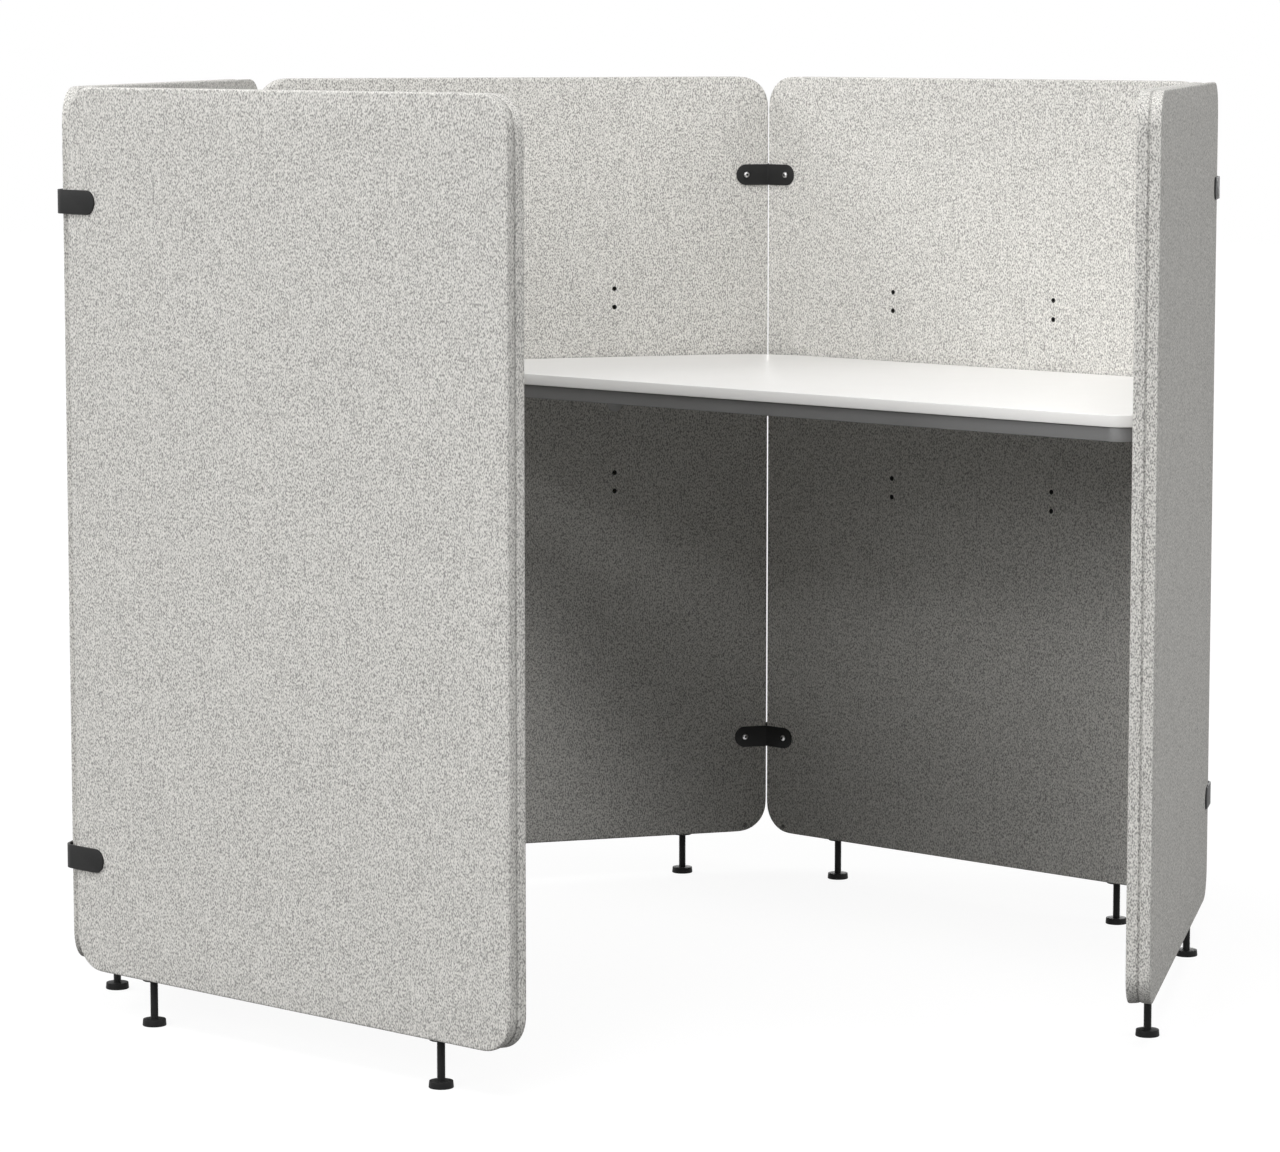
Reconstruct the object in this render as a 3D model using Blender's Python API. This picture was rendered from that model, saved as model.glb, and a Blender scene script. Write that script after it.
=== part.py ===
# Acoustic work pod: five upholstered panels on five sides of a regular hexagon, the sixth side open,
# joined by bent corner plates, standing on levelling feet, with a desk top across the three rear panels.
# Lengths are in metres. The origin is on the floor in the middle of the footprint, +Z is up,
# +Y points at the rear panel, and the open side faces between +X and -Y.

import math

import bmesh
import bpy
from mathutils import Matrix, Vector

# Panels
PANEL_WIDTH = 0.906
PANEL_HEIGHT = 1.330
PANEL_THICKNESS = 0.036
PANEL_CORNER_RADIUS = 0.050
PANEL_EDGE_RADIUS = 0.003
PANEL_END_GAP = 0.0018
COVER_THICKNESS = 0.006
FLOOR_CLEARANCE = 0.070

# Levelling feet, and the flanged bushes in the panel cores that they screw into
FOOT_INSET = 0.151
PAD_DIAMETER = 0.036
PAD_HEIGHT = 0.010
PAD_CHAMFER = 0.0015
STEM_DIAMETER = 0.012
LEAST_THREAD_ENGAGEMENT = 0.020
FOOT_TRAVEL_UP = 0.040
FOOT_TRAVEL_DOWN = 0.010
STEM_BORE_END_ROOM = 0.005
BUSH_DIAMETER = 0.018
BUSH_EMBEDMENT = 0.012
FLANGE_DIAMETER = 0.033
FLANGE_THICKNESS = 0.0025
FLANGE_RIM_THICKNESS = 0.0012

# Corner plates, the threaded sleeves on the outer ones, and their screws
PLATE_HEIGHT = 0.036
PLATE_THICKNESS = 0.003
PLATE_SCREW_REACH = 0.0412
PLATE_INSET = 0.170
OUTER_PLATE_OVERREACH = 0.0034
OUTER_PLATE_BEND_RADIUS = 0.020
SLEEVE_DIAMETER = 0.010
SLEEVE_SETBACK = 0.006
SLEEVE_FLOOR = 0.004
SCREW_DIAMETER = 0.006
SCREW_HEAD_DIAMETER = 0.0105
SCREW_HEAD_HEIGHT = 0.0033
SCREW_SOCKET_DIAMETER = 0.004
SCREW_SOCKET_DEPTH = 0.002
SCREW_END_ROOM = 0.004

# Hole pairs for the desk brackets, in rows one above the other
HOLE_PAIR_SPACING = 0.032
HOLE_ROW_PITCH = 0.160
HOLE_MIDDLE_ROW_HEIGHT = 0.860
HOLE_DIAMETER = 0.006
HOLE_DEPTH = 0.022

# Desk top and the rail under its front edge
DESK_THICKNESS = 0.018
DESK_DEPTH = 0.625
DESK_CLEARANCE = 0.004
DESK_FRONT_CORNER_RADIUS = 0.040
DESK_REAR_CORNER_RADIUS = 0.170
RAIL_HEIGHT = 0.022
RAIL_THICKNESS = 0.012
RAIL_INSET = 0.006
RAIL_WRAP_ANGLE = math.radians(75)

# Desk brackets
BRACKET_WIDTH = 0.025
BRACKET_THICKNESS = 0.003
BRACKET_DROP = 0.077
BRACKET_REACH = 0.070
BRACKET_ROW_DROP = 0.040
BRACKET_SETBACK = 0.0979
BRACKET_HOLE_DIAMETER = 0.0055
BRACKET_FIRST_DESK_HOLE = 0.024
BRACKET_DESK_HOLE_SPACING = 0.026

# Clearances between pieces, how far cutting tools overrun, and how nearly round a round end is
FIT_GAP = 0.0003
RUNNING_GAP = 0.0004
CUT_OVERRUN = 0.010
ROUND_END_SHARE = 0.98

# Facets
CORNER_SEGMENTS = 5
EDGE_SEGMENTS = 2
CORE_EDGE_SEGMENTS = 1
DESK_CORNER_SEGMENTS = 10
ROUND_END_SEGMENTS = 4
BEND_SEGMENTS = 5
FOOT_SIDES = 12
SCREW_SIDES = 8
HOLE_SIDES = 6
SMOOTH_ANGLE = math.radians(35)

# The hexagon: each panel's outward direction in degrees, and the panels that meet at each closed corner,
# the left one first as seen from inside
HALF_CORNER = math.radians(60)
PANEL_DIRECTIONS = {
    "front_panel": 270,
    "front_left_panel": 210,
    "rear_left_panel": 150,
    "rear_panel": 90,
    "rear_right_panel": 30,
}
DESK_PANELS = ("rear_left_panel", "rear_panel", "rear_right_panel")
CORNERS = {
    "front_corner": ("front_panel", "front_left_panel"),
    "left_corner": ("front_left_panel", "rear_left_panel"),
    "rear_left_corner": ("rear_left_panel", "rear_panel"),
    "rear_right_corner": ("rear_panel", "rear_right_panel"),
}
SIDES = {"left": -1, "right": 1}

# Places that several pieces share. In a panel's own frame X runs along it to the right as seen from
# inside, Y points outwards from its middle plane and Z is height above the floor.
# The end gap is between the rounded edges of two panels, which stand back from where sharp edges would meet.
EDGE_RELIEF = 2 * PANEL_EDGE_RADIUS * (math.sin(HALF_CORNER) + math.cos(HALF_CORNER) - 1)
INNER_SIDE = PANEL_WIDTH + (PANEL_END_GAP - EDGE_RELIEF) / math.sin(HALF_CORNER)
INNER_APOTHEM = INNER_SIDE / 2 * math.tan(HALF_CORNER)
INNER_FACE = -PANEL_THICKNESS / 2
OUTER_FACE = PANEL_THICKNESS / 2
PANEL_TOP = FLOOR_CLEARANCE + PANEL_HEIGHT
FOOT_X = PANEL_WIDTH / 2 - FOOT_INSET
STEM_TOP = FLOOR_CLEARANCE + LEAST_THREAD_ENGAGEMENT + FOOT_TRAVEL_DOWN
STEM_BORE_TOP = STEM_TOP + FOOT_TRAVEL_UP + STEM_BORE_END_ROOM
STEM_BORE_DIAMETER = STEM_DIAMETER + 2 * RUNNING_GAP
FLANGE_TOP = FLOOR_CLEARANCE - FIT_GAP
FLANGE_BOTTOM = FLANGE_TOP - FLANGE_THICKNESS
SCREW_X = INNER_SIDE / 2 - PLATE_SCREW_REACH
SCREW_HOLE_DIAMETER = SCREW_DIAMETER + 2 * RUNNING_GAP
SLEEVE_HOLE_DIAMETER = SLEEVE_DIAMETER + 2 * RUNNING_GAP
PLATE_LEVELS = {"lower": FLOOR_CLEARANCE + PLATE_INSET, "upper": PANEL_TOP - PLATE_INSET}
DESK_UNDERSIDE = HOLE_MIDDLE_ROW_HEIGHT + BRACKET_ROW_DROP
DESK_FRONT = INNER_APOTHEM - DESK_DEPTH

# The hole columns of the equal panels, placed so that the front brackets on the side panels stand the
# setback behind the desk's front edge
HOLE_COLUMN_SPACING = INNER_SIDE - 2 * (DESK_FRONT / math.sin(HALF_CORNER) + BRACKET_SETBACK)
COLUMN_X = HOLE_COLUMN_SPACING / 2


def clear_scene():
    for old in list(bpy.data.objects):
        bpy.data.objects.remove(old, do_unlink=True)


def finish_material(name, colour, roughness, metallic=0.0):
    material = bpy.data.materials.new(name)
    material.use_nodes = True
    shader = material.node_tree.nodes["Principled BSDF"]
    shader.inputs["Base Color"].default_value = (*colour, 1.0)
    shader.inputs["Roughness"].default_value = roughness
    shader.inputs["Metallic"].default_value = metallic
    return material


def empty(name, place=Vector(), turn=0.0, parent=None):
    holder = bpy.data.objects.new(name, None)
    bpy.context.scene.collection.objects.link(holder)
    holder.location = place
    holder.rotation_euler.z = turn
    holder.parent = parent
    return holder


def mesh_object(name, bm, parent, place=Vector()):
    bmesh.ops.recalc_face_normals(bm, faces=bm.faces)
    mesh = bpy.data.meshes.new(name)
    bm.to_mesh(mesh)
    bm.free()
    made = bpy.data.objects.new(name, mesh)
    bpy.context.scene.collection.objects.link(made)
    made.location = place
    made.parent = parent
    return made


def piece(name, bm, parent, material, place=Vector()):
    made = mesh_object(name, bm, parent, place)
    made.data.materials.append(material)
    made.data.shade_smooth()
    made.data.set_sharp_from_angle(angle=SMOOTH_ANGLE)
    return made


def boolean(target, operation, bm):
    """Cuts the shape in bm, given in the target's own frame, out of the target, or joins it on."""
    tool = mesh_object(f"{target.name}_{operation.lower()}_tool", bm, target)
    tool.hide_render = True
    tool.display_type = "WIRE"
    modifier = target.modifiers.new(operation.title(), "BOOLEAN")
    modifier.operation = operation
    modifier.solver = "EXACT"
    modifier.object = tool


def add_prism(bm, outline, sweep):
    """A closed solid: a flat outline carried along a sweep."""
    face = bm.faces.new([bm.verts.new(point) for point in outline])
    swept = bmesh.ops.extrude_face_region(bm, geom=[face])
    moved = [item for item in swept["geom"] if isinstance(item, bmesh.types.BMVert)]
    bmesh.ops.translate(bm, verts=moved, vec=sweep)


def along(start, direction):
    """A frame at start whose Z axis is the direction."""
    return Matrix.Translation(start) @ Vector(direction).to_track_quat("Z", "Y").to_matrix().to_4x4()


def add_cylinder(bm, start, end, diameter, sides):
    axis = Vector(end) - Vector(start)
    middle = (Vector(start) + Vector(end)) / 2
    bmesh.ops.create_cone(bm, cap_ends=True, segments=sides, radius1=diameter / 2,
                          radius2=diameter / 2, depth=axis.length, matrix=along(middle, axis))


def add_turned(bm, profile, frame, sides):
    """A turned solid: (radius, height) points from axis to axis, spun about the frame's Z axis."""
    kept = set(bm.verts)
    points = [bm.verts.new((radius, 0.0, height)) for radius, height in profile]
    edges = [bm.edges.new(pair) for pair in zip(points, points[1:])]
    bmesh.ops.spin(bm, geom=points + edges, cent=(0, 0, 0), axis=(0, 0, 1), angle=2 * math.pi,
                   steps=sides, use_merge=True, use_duplicate=False)
    turned = [vert for vert in bm.verts if vert not in kept]
    bmesh.ops.remove_doubles(bm, verts=turned, dist=FIT_GAP / 100)
    turned = [vert for vert in bm.verts if vert not in kept]
    bmesh.ops.transform(bm, matrix=frame, verts=turned)


def round_off(bm, edges, radius, segments):
    bmesh.ops.bevel(bm, geom=edges, offset=radius, offset_type="OFFSET", segments=segments,
                    profile=0.5, affect="EDGES", clamp_overlap=False, material=-1)


def arc(centre, radius, start, end, segments):
    angles = [start + (end - start) * step / segments for step in range(segments + 1)]
    return [centre + radius * Vector((math.cos(angle), math.sin(angle))) for angle in angles]


def rounded_outline(corners, radii, segments):
    """A convex outline, counter-clockwise, with an arc of its own radius at each corner."""
    outline = []
    for index, (corner, radius) in enumerate(zip(corners, radii)):
        back = (corners[index - 1] - corner).normalized()
        ahead = (corners[(index + 1) % len(corners)] - corner).normalized()
        half_angle = back.angle(ahead) / 2
        centre = corner + (back + ahead).normalized() * radius / math.sin(half_angle)
        tangent = corner + back * radius / math.tan(half_angle) - centre
        start = math.atan2(tangent.y, tangent.x)
        outline += arc(centre, radius, start, start + math.pi - 2 * half_angle, segments)
    return outline


def add_panel_slab(bm, shrink, edge_segments):
    """The panel's rounded slab with soft edges, every face set inwards by the same shrink."""
    half_width = PANEL_WIDTH / 2 - shrink
    low = FLOOR_CLEARANCE + shrink
    high = PANEL_TOP - shrink
    corners = [Vector(pair) for pair in
               ((-half_width, low), (half_width, low), (half_width, high), (-half_width, high))]
    outline = rounded_outline(corners, [PANEL_CORNER_RADIUS - shrink] * 4, CORNER_SEGMENTS)
    inner = INNER_FACE + shrink
    outer = OUTER_FACE - shrink
    add_prism(bm, [(point.x, inner, point.y) for point in outline], (0.0, outer - inner, 0.0))
    rim = [edge for edge in bm.edges if abs(edge.verts[0].co.y - edge.verts[1].co.y) < FIT_GAP]
    if PANEL_EDGE_RADIUS > shrink:
        round_off(bm, rim, PANEL_EDGE_RADIUS - shrink, edge_segments)


def screw_sides(panel):
    """The ends of a panel, left or right, that a corner plate holds."""
    held = []
    for left_panel, right_panel in CORNERS.values():
        if panel == right_panel:
            held.append("left")
        if panel == left_panel:
            held.append("right")
    return held


def add_panel_holes(bm, panel, foot_hole_diameter, foot_hole_top):
    """The holes through a panel: corner sleeves right through, foot holes from below, and blind holes
    for the desk brackets from the inner face."""
    for side in screw_sides(panel):
        for level in PLATE_LEVELS.values():
            x = SIDES[side] * SCREW_X
            add_cylinder(bm, (x, INNER_FACE - CUT_OVERRUN, level), (x, OUTER_FACE + CUT_OVERRUN, level),
                         SLEEVE_HOLE_DIAMETER, SCREW_SIDES)
    for sign in SIDES.values():
        x = sign * FOOT_X
        add_cylinder(bm, (x, 0.0, FLANGE_BOTTOM - CUT_OVERRUN), (x, 0.0, foot_hole_top),
                     foot_hole_diameter, FOOT_SIDES)
    if panel not in DESK_PANELS:
        return
    for sign in SIDES.values():
        for row in (-1, 0, 1):
            for hole in (-0.5, 0.5):
                x = sign * COLUMN_X
                z = HOLE_MIDDLE_ROW_HEIGHT + row * HOLE_ROW_PITCH + hole * HOLE_PAIR_SPACING
                add_cylinder(bm, (x, INNER_FACE - CUT_OVERRUN, z), (x, INNER_FACE + HOLE_DEPTH, z),
                             HOLE_DIAMETER, HOLE_SIDES)


def make_cover(panel, frame, material):
    """The upholstered cover: a thin padded shell all round the core."""
    bm = bmesh.new()
    add_panel_slab(bm, 0.0, EDGE_SEGMENTS)
    cover = piece(f"{panel}_cover", bm, frame, material)
    cavity = bmesh.new()
    add_panel_slab(cavity, COVER_THICKNESS, CORE_EDGE_SEGMENTS)
    boolean(cover, "DIFFERENCE", cavity)
    holes = bmesh.new()
    add_panel_holes(holes, panel, BUSH_DIAMETER + 2 * RUNNING_GAP, FLOOR_CLEARANCE + COVER_THICKNESS * 2)
    boolean(cover, "DIFFERENCE", holes)
    return cover


def make_core(panel, frame, material):
    """The board inside the cover, with the flanged foot bushes pressed into its lower edge."""
    core_bottom = FLOOR_CLEARANCE + COVER_THICKNESS + FIT_GAP
    bm = bmesh.new()
    add_panel_slab(bm, COVER_THICKNESS + FIT_GAP, CORE_EDGE_SEGMENTS)
    core = piece(f"{panel}_core", bm, frame, material)
    bushes = bmesh.new()
    profile = [
        (0.0, core_bottom + BUSH_EMBEDMENT),
        (BUSH_DIAMETER / 2, core_bottom + BUSH_EMBEDMENT),
        (BUSH_DIAMETER / 2, FLANGE_TOP),
        (FLANGE_DIAMETER / 2, FLANGE_TOP),
        (FLANGE_DIAMETER / 2, FLANGE_TOP - FLANGE_RIM_THICKNESS),
        (BUSH_DIAMETER / 2, FLANGE_BOTTOM),
        (0.0, FLANGE_BOTTOM),
    ]
    for sign in SIDES.values():
        add_turned(bushes, profile, Matrix.Translation((sign * FOOT_X, 0.0, 0.0)), FOOT_SIDES)
    boolean(core, "UNION", bushes)
    holes = bmesh.new()
    add_panel_holes(holes, panel, STEM_BORE_DIAMETER, STEM_BORE_TOP)
    boolean(core, "DIFFERENCE", holes)
    return core


def make_foot(panel, side, frame, material):
    """A levelling foot: a round pad on a threaded stem, whose origin is on the axis it screws along."""
    pad_radius = PAD_DIAMETER / 2
    stem_radius = STEM_DIAMETER / 2
    profile = [
        (0.0, 0.0),
        (pad_radius - PAD_CHAMFER, 0.0),
        (pad_radius, PAD_CHAMFER),
        (pad_radius, PAD_HEIGHT),
        (stem_radius, PAD_HEIGHT),
        (stem_radius, STEM_TOP),
        (0.0, STEM_TOP),
    ]
    bm = bmesh.new()
    add_turned(bm, profile, Matrix.Identity(4), FOOT_SIDES)
    return piece(f"{panel}_{side}_foot", bm, frame, material, Vector((SIDES[side] * FOOT_X, 0.0, 0.0)))


def leg_point(sign, reach, outward, height):
    """A point by a corner plate's leg: how far along the panel from the inner corner, and how far
    outwards from the panel's inner face. The corner's own Y axis points outwards."""
    leg = Vector((sign * math.sin(HALF_CORNER), -math.cos(HALF_CORNER), 0.0))
    normal = Vector((sign * math.cos(HALF_CORNER), math.sin(HALF_CORNER), 0.0))
    return leg * reach + normal * outward + Vector((0.0, 0.0, height))


def bent_plate(name, reach, near, far, level, frame, material, bend_radius=0.0):
    """A steel strip bent at the corner, with legs of equal reach, between two distances outwards from the
    inner faces. The bend is sharp unless its near side has a radius."""
    low = level - PLATE_HEIGHT / 2
    outline = [leg_point(-1, reach, near, low), Vector((0.0, near / math.sin(HALF_CORNER), low)),
               leg_point(1, reach, near, low), leg_point(1, reach, far, low),
               Vector((0.0, far / math.sin(HALF_CORNER), low)), leg_point(-1, reach, far, low)]
    bm = bmesh.new()
    add_prism(bm, outline, (0.0, 0.0, PLATE_HEIGHT))
    ends = []
    for edge in bm.edges:
        middle = (edge.verts[0].co + edge.verts[1].co) / 2
        flat = abs(edge.verts[0].co.z - edge.verts[1].co.z) < FIT_GAP
        across = leg_point(1, 1.0, 0.0, 0.0).dot((abs(middle.x), middle.y, 0.0)) > reach - FIT_GAP
        if flat and across:
            ends.append(edge)
    round_off(bm, ends, PLATE_HEIGHT / 2 * ROUND_END_SHARE, ROUND_END_SEGMENTS)
    if bend_radius > 0.0:
        for outward in (near, far):
            fold_y = outward / math.sin(HALF_CORNER)
            fold = [edge for edge in bm.edges
                    if all(abs(vert.co.x) < FIT_GAP and abs(vert.co.y - fold_y) < FIT_GAP
                           for vert in edge.verts)]
            round_off(bm, fold, (bend_radius + outward - near) * math.tan(HALF_CORNER / 2), BEND_SEGMENTS)
    return piece(name, bm, frame, material)


def make_inner_plate(name, level, frame, material):
    near = -FIT_GAP
    far = near - PLATE_THICKNESS
    reach = PLATE_SCREW_REACH + PLATE_HEIGHT / 2
    plate = bent_plate(name, reach, near, far, level, frame, material)
    holes = bmesh.new()
    for sign in SIDES.values():
        add_cylinder(holes, leg_point(sign, PLATE_SCREW_REACH, far - CUT_OVERRUN, level),
                     leg_point(sign, PLATE_SCREW_REACH, near + CUT_OVERRUN, level),
                     SCREW_HOLE_DIAMETER, SCREW_SIDES)
    boolean(plate, "DIFFERENCE", holes)
    return plate


def make_outer_plate(name, level, frame, material):
    """The outer plate is smooth outside, a little longer than the inner one and has a wide bend. Threaded
    sleeves welded to it reach through the panels."""
    near = PANEL_THICKNESS + FIT_GAP
    far = near + PLATE_THICKNESS
    reach = PLATE_SCREW_REACH + PLATE_HEIGHT / 2 + OUTER_PLATE_OVERREACH
    plate = bent_plate(name, reach, near, far, level, frame, material, OUTER_PLATE_BEND_RADIUS)
    sleeves = bmesh.new()
    bores = bmesh.new()
    for sign in SIDES.values():
        add_cylinder(sleeves, leg_point(sign, PLATE_SCREW_REACH, SLEEVE_SETBACK, level),
                     leg_point(sign, PLATE_SCREW_REACH, near + PLATE_THICKNESS / 2, level),
                     SLEEVE_DIAMETER, SCREW_SIDES)
        add_cylinder(bores, leg_point(sign, PLATE_SCREW_REACH, SLEEVE_SETBACK - CUT_OVERRUN, level),
                     leg_point(sign, PLATE_SCREW_REACH, near - SLEEVE_FLOOR, level),
                     SCREW_HOLE_DIAMETER, SCREW_SIDES)
    boolean(plate, "UNION", sleeves)
    boolean(plate, "DIFFERENCE", bores)
    return plate


def make_screw(name, sign, level, frame, material):
    """A button-head screw with a socket, from the inner plate into the outer plate's sleeve."""
    seat = -(FIT_GAP + PLATE_THICKNESS + FIT_GAP)
    shank_length = PANEL_THICKNESS + FIT_GAP - SLEEVE_FLOOR - SCREW_END_ROOM - seat
    head_radius = SCREW_HEAD_DIAMETER / 2
    socket_radius = SCREW_SOCKET_DIAMETER / 2
    profile = [
        (0.0, shank_length),
        (SCREW_DIAMETER / 2, shank_length),
        (SCREW_DIAMETER / 2, 0.0),
        (head_radius, 0.0),
        (head_radius, -SCREW_HEAD_HEIGHT / 3),
        ((head_radius + socket_radius) / 2, -SCREW_HEAD_HEIGHT),
        (socket_radius, -SCREW_HEAD_HEIGHT),
        (socket_radius, SCREW_SOCKET_DEPTH - SCREW_HEAD_HEIGHT),
        (0.0, SCREW_SOCKET_DEPTH - SCREW_HEAD_HEIGHT),
    ]
    start = leg_point(sign, PLATE_SCREW_REACH, seat, level)
    inwards = leg_point(sign, 0.0, 1.0, 0.0)
    bm = bmesh.new()
    add_turned(bm, profile, along(start, inwards), SCREW_SIDES)
    return piece(name, bm, frame, material)


def make_desk_top(frame, material):
    """The desk top: its rear and side edges run beside the three rear panels, its front edge is
    parallel to the rear panel."""
    rear = INNER_APOTHEM - DESK_CLEARANCE
    rear_x = rear / math.tan(HALF_CORNER)
    front_x = (rear - DESK_FRONT * math.cos(HALF_CORNER)) / math.sin(HALF_CORNER)
    corners = [Vector(pair) for pair in
               ((-front_x, DESK_FRONT), (front_x, DESK_FRONT), (rear_x, rear), (-rear_x, rear))]
    radii = [DESK_FRONT_CORNER_RADIUS] * 2 + [DESK_REAR_CORNER_RADIUS] * 2
    outline = rounded_outline(corners, radii, DESK_CORNER_SEGMENTS)
    bm = bmesh.new()
    add_prism(bm, [(point.x, point.y, DESK_UNDERSIDE) for point in outline], (0.0, 0.0, DESK_THICKNESS))
    return piece("desk_top", bm, frame, material)


def make_front_rail(frame, material):
    """A stiffening bar under the front edge of the desk top, bent round both front corners."""
    rear = INNER_APOTHEM - DESK_CLEARANCE - DESK_FRONT_CORNER_RADIUS
    centre_y = DESK_FRONT + DESK_FRONT_CORNER_RADIUS
    centre_x = (rear - centre_y * math.cos(HALF_CORNER)) / math.sin(HALF_CORNER)
    outer_radius = DESK_FRONT_CORNER_RADIUS - RAIL_INSET
    front = -math.pi / 2
    outline = []
    for radius, ends in ((outer_radius, (-1, 1)), (outer_radius - RAIL_THICKNESS, (1, -1))):
        for sign in ends:
            start, end = (front, front + sign * RAIL_WRAP_ANGLE)
            if sign == ends[0]:
                start, end = end, start
            centre = Vector((sign * centre_x, centre_y))
            outline += arc(centre, radius, start, end, DESK_CORNER_SEGMENTS)
    top = DESK_UNDERSIDE - FIT_GAP
    bm = bmesh.new()
    add_prism(bm, [(point.x, point.y, top - RAIL_HEIGHT) for point in outline], (0.0, 0.0, RAIL_HEIGHT))
    return piece("desk_front_rail", bm, frame, material)


def make_desk_bracket(panel, side, frame, material):
    """A steel angle with round ends: one leg down the panel, one leg under the desk top."""
    back = INNER_FACE - FIT_GAP
    tip = back - BRACKET_REACH
    top = DESK_UNDERSIDE - FIT_GAP
    bottom = top - BRACKET_DROP
    half_width = BRACKET_WIDTH / 2
    outline = [(back, bottom), (back, top), (tip, top), (tip, top - BRACKET_THICKNESS),
               (back - BRACKET_THICKNESS, top - BRACKET_THICKNESS), (back - BRACKET_THICKNESS, bottom)]
    bm = bmesh.new()
    add_prism(bm, [(-half_width, y, z) for y, z in outline], (BRACKET_WIDTH, 0.0, 0.0))
    ends = []
    for edge in bm.edges:
        first, second = (vert.co for vert in edge.verts)
        lengthwise = abs(first.x - second.x) < FIT_GAP
        at_bottom = max(first.z, second.z) < bottom + FIT_GAP
        at_tip = max(first.y, second.y) < tip + FIT_GAP
        if lengthwise and (at_bottom or at_tip):
            ends.append(edge)
    round_off(bm, ends, half_width * ROUND_END_SHARE, ROUND_END_SEGMENTS)
    bracket = piece(f"{panel}_{side}_desk_bracket", bm, frame, material,
                    Vector((SIDES[side] * COLUMN_X, 0.0, 0.0)))
    holes = bmesh.new()
    for sign in SIDES.values():
        z = HOLE_MIDDLE_ROW_HEIGHT + sign * HOLE_PAIR_SPACING / 2
        add_cylinder(holes, (0.0, back - BRACKET_THICKNESS - CUT_OVERRUN, z), (0.0, back + CUT_OVERRUN, z),
                     BRACKET_HOLE_DIAMETER, SCREW_SIDES)
    for step in (0, 1):
        y = back - BRACKET_FIRST_DESK_HOLE - step * BRACKET_DESK_HOLE_SPACING
        add_cylinder(holes, (0.0, y, top - BRACKET_THICKNESS - CUT_OVERRUN), (0.0, y, top + CUT_OVERRUN),
                     BRACKET_HOLE_DIAMETER, SCREW_SIDES)
    boolean(bracket, "DIFFERENCE", holes)
    return bracket


def centre_footprint(pod, pieces):
    """Moves the whole pod so that the middle of its footprint is the origin."""
    bpy.context.view_layer.update()
    points = [made.matrix_world @ vert.co for made in pieces for vert in made.data.vertices]
    for axis in (0, 1):
        reach = [point[axis] for point in points]
        pod.location[axis] -= (min(reach) + max(reach)) / 2


def main():
    clear_scene()
    felt = finish_material("melange_felt", (0.56, 0.56, 0.54), 0.95)
    board = finish_material("core_board", (0.45, 0.33, 0.20), 0.8)
    black_steel = finish_material("black_steel", (0.022, 0.022, 0.022), 0.45, 0.3)
    bright_steel = finish_material("bright_steel", (0.60, 0.60, 0.60), 0.3, 1.0)
    black_plastic = finish_material("black_plastic", (0.012, 0.012, 0.012), 0.5)
    white_laminate = finish_material("white_laminate", (0.85, 0.85, 0.85), 0.4)
    grey_steel = finish_material("grey_steel", (0.10, 0.10, 0.10), 0.5, 0.9)

    pod = empty("pod")
    pieces = []
    for panel, degrees in PANEL_DIRECTIONS.items():
        direction = math.radians(degrees)
        outwards = Vector((math.cos(direction), math.sin(direction), 0.0))
        frame = empty(panel, outwards * (INNER_APOTHEM + PANEL_THICKNESS / 2), direction - math.pi / 2, pod)
        pieces.append(make_cover(panel, frame, felt))
        pieces.append(make_core(panel, frame, board))
        for side in SIDES:
            pieces.append(make_foot(panel, side, frame, black_plastic))
            if panel in DESK_PANELS:
                pieces.append(make_desk_bracket(panel, side, frame, grey_steel))

    for corner, panels in CORNERS.items():
        direction = math.radians(sum(PANEL_DIRECTIONS[panel] for panel in panels) / 2)
        outwards = Vector((math.cos(direction), math.sin(direction), 0.0))
        frame = empty(corner, outwards * INNER_SIDE, direction - math.pi / 2, pod)
        for height, level in PLATE_LEVELS.items():
            name = f"{corner}_{height}"
            pieces.append(make_inner_plate(f"{name}_inner_plate", level, frame, black_steel))
            pieces.append(make_outer_plate(f"{name}_outer_plate", level, frame, black_steel))
            for side, sign in SIDES.items():
                pieces.append(make_screw(f"{name}_{side}_screw", sign, level, frame, bright_steel))

    pieces.append(make_desk_top(pod, white_laminate))
    pieces.append(make_front_rail(pod, grey_steel))
    centre_footprint(pod, pieces)


main()
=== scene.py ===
# %% [markdown]
# # Acoustic work pod
# A work pod is a small room without a roof. Five upholstered screens stand on five sides of a hexagon, the
# sixth side is the way in, and a desk top spans the three screens at the back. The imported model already
# holds every piece at its real size, so this lesson dresses it: each cell makes one kind of piece or one
# finish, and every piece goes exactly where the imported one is.

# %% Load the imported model
import math

import bmesh
import bpy
from mathutils import Matrix, Vector


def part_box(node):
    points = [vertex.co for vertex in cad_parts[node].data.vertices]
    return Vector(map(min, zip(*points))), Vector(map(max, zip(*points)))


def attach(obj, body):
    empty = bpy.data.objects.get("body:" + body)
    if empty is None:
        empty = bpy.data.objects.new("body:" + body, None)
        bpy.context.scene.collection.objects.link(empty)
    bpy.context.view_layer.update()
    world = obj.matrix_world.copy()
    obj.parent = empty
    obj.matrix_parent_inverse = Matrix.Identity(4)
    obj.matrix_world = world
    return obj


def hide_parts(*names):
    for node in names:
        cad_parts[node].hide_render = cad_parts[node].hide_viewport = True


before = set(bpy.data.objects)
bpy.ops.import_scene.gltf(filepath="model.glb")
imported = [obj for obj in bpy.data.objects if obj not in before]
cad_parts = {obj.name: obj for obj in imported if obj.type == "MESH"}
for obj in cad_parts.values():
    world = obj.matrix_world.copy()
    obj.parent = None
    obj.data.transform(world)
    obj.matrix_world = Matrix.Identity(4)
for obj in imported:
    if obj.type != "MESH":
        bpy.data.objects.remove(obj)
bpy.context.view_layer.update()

# %% [markdown]
# All five screens are the same panel turned about the middle of the hexagon. So one panel is measured, and
# a matrix for each of the others carries a shape from that panel's own frame to its place: X along the
# panel to the right as seen from inside, Y outwards from its middle plane, Z up from the floor. A corner
# gets a frame of the same kind, with its origin where two inner faces meet.

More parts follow.
